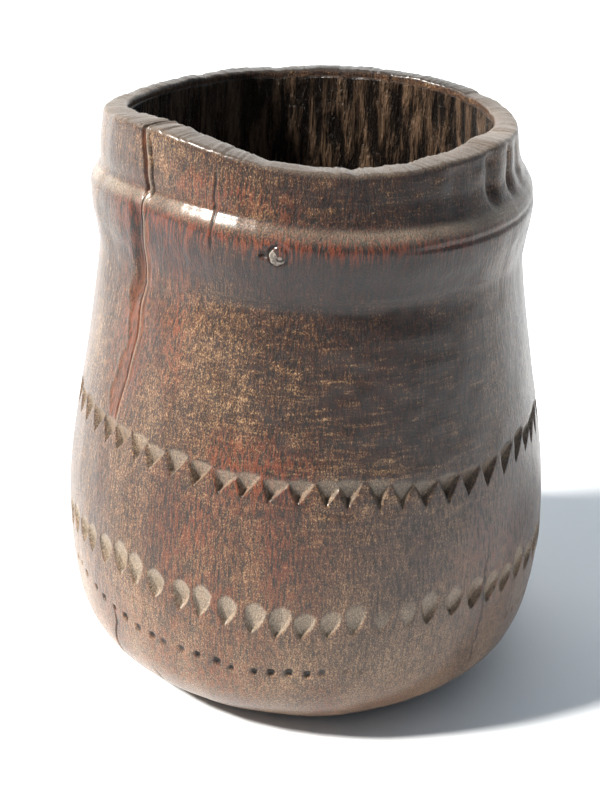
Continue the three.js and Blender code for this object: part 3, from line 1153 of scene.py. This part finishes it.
def make_stage():
    """A floor that sweeps up behind the vessel."""
    size = 6 * HEIGHT * MM
    back = 2.2 * size
    bend = 0.6 * size
    line = [(-size, 0.0), (back, 0.0)]
    line += [(back + bend * np.sin(t), bend * (1 - np.cos(t))) for t in np.linspace(0, pi / 2, 13)[1:]]
    line.append((back + bend, 3 * size))
    points = [(x, y, z) for x in (-4 * size, 4 * size) for y, z in line]
    count = len(line)
    faces = [(k, k + count, k + count + 1, k + 1) for k in range(count - 1)]
    mesh = bpy.data.meshes.new("floor")
    mesh.from_pydata(points, [], faces)
    floor = bpy.data.objects.new("floor", mesh)
    bpy.context.scene.collection.objects.link(floor)
    mesh.polygons.foreach_set("use_smooth", np.ones(len(faces), bool))
    mesh.materials.append(plain("pale_floor", FLOOR_COLOUR, 0.8))


def make_key_light():
    data = bpy.data.lights.new("key", "AREA")
    data.shape = "DISK"
    data.size = KEY_SIZE
    data.energy = KEY_POWER
    data.color = KEY_COLOUR
    lamp = bpy.data.objects.new("key", data)
    bpy.context.scene.collection.objects.link(lamp)
    azimuth = radians(KEY_AZIMUTH)
    elevation = radians(KEY_ELEVATION)
    level = np.cos(elevation)
    way = Vector((np.cos(azimuth) * level, np.sin(azimuth) * level, np.sin(elevation)))
    lamp.location = way * KEY_DISTANCE + Vector((0, 0, 0.45 * HEIGHT * MM))
    lamp.rotation_euler = way.to_track_quat("Z", "Y").to_euler()


def make_surroundings():
    """Soft light all round that is dim in front of the vessel and bright behind it."""
    world = bpy.data.worlds.new("studio")
    bpy.context.scene.world = world
    world.use_nodes = True
    tree = world.node_tree
    way = tree.nodes.new("ShaderNodeTexCoord")
    split = tree.nodes.new("ShaderNodeSeparateXYZ")
    fade = tree.nodes.new("ShaderNodeMapRange")
    fade.inputs["From Min"].default_value = -1
    fade.inputs["From Max"].default_value = 0.6
    fade.inputs["To Min"].default_value = FRONT_SKY
    fade.inputs["To Max"].default_value = BACK_SKY
    background = tree.nodes["Background"]
    background.inputs["Color"].default_value = SKY_COLOUR
    tree.links.new(way.outputs["Generated"], split.inputs[0])
    tree.links.new(split.outputs["Y"], fade.inputs["Value"])
    tree.links.new(fade.outputs[0], background.inputs["Strength"])


# The camera's angles in degrees, and its distance and aim in mm
CAMERA_PITCH = 24.2
CAMERA_ROLL = 2.1
CAMERA_DISTANCE = 2.58 * HEIGHT
LENS = 63
SENSOR = 36
AIM = Vector((-2.25, 0, 0.462 * HEIGHT))


def make_camera():
    data = bpy.data.cameras.new("camera")
    data.lens = LENS
    data.sensor_width = SENSOR
    camera = bpy.data.objects.new("camera", data)
    bpy.context.scene.collection.objects.link(camera)
    pitch = radians(CAMERA_PITCH)
    back = Vector((0, -np.cos(pitch), np.sin(pitch)))
    facing = back.to_track_quat("Z", "Y").to_matrix().to_4x4()
    roll = Matrix.Rotation(radians(CAMERA_ROLL), 4, "Z")
    camera.matrix_world = Matrix.Translation((AIM + back * CAMERA_DISTANCE) * MM) @ facing @ roll
    data.clip_start = 0.01
    data.clip_end = 30
    bpy.context.scene.camera = camera


# ---- Assembly -----------------------------------------------------------------------------------------


def dress():
    """Makes the three pieces, each standing for its CAD node."""
    wall = mesh_object("carved_wall", *build_wall())
    wall.data.materials.append(old_wood())
    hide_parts("vessel_wall")
    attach(wall, "root")

    board = build_disc()
    board.data.materials.append(board_wood())
    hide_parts("bottom_disc")
    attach(board, "root")

    peg = build_peg()
    peg.data.materials.append(peg_wood())
    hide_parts("shoulder_peg")
    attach(peg, "root")


make_stage()
make_key_light()
make_surroundings()
make_camera()
dress()
bpy.context.scene.view_settings.view_transform = "Standard"
